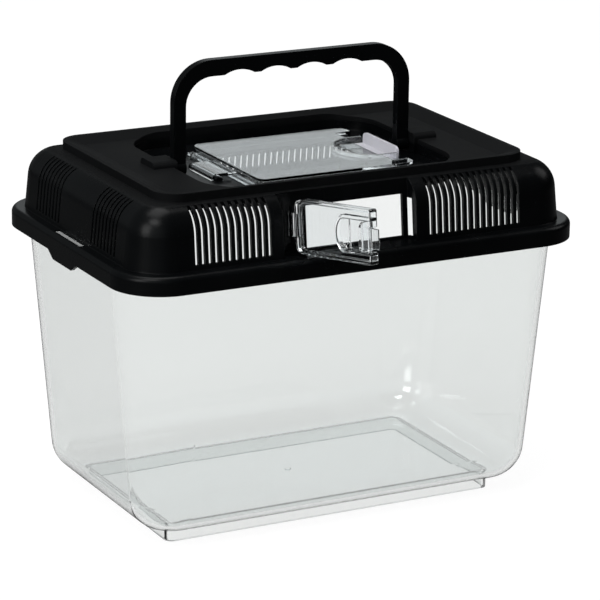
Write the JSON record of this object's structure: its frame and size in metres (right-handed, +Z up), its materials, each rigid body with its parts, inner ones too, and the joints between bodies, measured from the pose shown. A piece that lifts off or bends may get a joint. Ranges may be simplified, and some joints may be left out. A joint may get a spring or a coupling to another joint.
{
  "type": "pet keeper",
  "caption": "Clear plastic pet keeper with a black ventilated lift-off lid, folding carry handle, tray hatch and a swinging front door with a latch.",
  "frame": {"origin": "on the floor, under the middle of the tub and of the lid", "axes": "+X to the right and -Y to the front as one faces the small swinging door, +Z up"},
  "size_m": [0.23, 0.1947, 0.2094],
  "materials": {
    "clear_plastic": "clear, polished mould",
    "black_plastic": "black, semi-gloss"
  },
  "bodies": {
    "tub": {"tub": "clear_plastic"},
    "lid": {"lid": "black_plastic"},
    "handle": {"handle": "black_plastic"},
    "top_door": {"top_door": "clear_plastic"},
    "top_latch": {"top_latch": "clear_plastic"},
    "front_door": {"front_door": "clear_plastic"},
    "front_latch": {"front_latch": "clear_plastic"}
  },
  "joints": [
    {"name": "lid_lift", "type": "slide", "parent": "tub", "child": "lid", "axis": [0, 0, 1], "range_m": [0, 0.08]},
    {"name": "handle_fold", "type": "hinge", "parent": "lid", "child": "handle", "pos_m": [0, 0, 0.1604], "axis": [1, 0, 0], "range_deg": [-90, 90]},
    {"name": "top_door_hinge", "type": "hinge", "parent": "lid", "child": "top_door", "pos_m": [-0.0436, 0, 0.15645], "axis": [0, -1, 0], "range_deg": [0, 24]},
    {"name": "top_latch_press", "type": "hinge", "parent": "top_door", "child": "top_latch", "pos_m": [0.0421, 0, 0.15795], "axis": [0, -1, 0], "range_deg": [0, 12], "stiffness_Nm_per_rad": 0.05},
    {"name": "front_door_hinge", "type": "hinge", "parent": "lid", "child": "front_door", "pos_m": [-0.0302, -0.06158, 0.1469], "axis": [0, -0.1132, -0.9936], "range_deg": [-76.6, 23.4]},
    {"name": "front_latch_press", "type": "hinge", "parent": "front_door", "child": "front_latch", "pos_m": [-0.02108, -0.10605, 0.15197], "axis": [0, -0.1132, -0.9936], "range_deg": [0, 5], "stiffness_Nm_per_rad": 0.05}
  ]
}
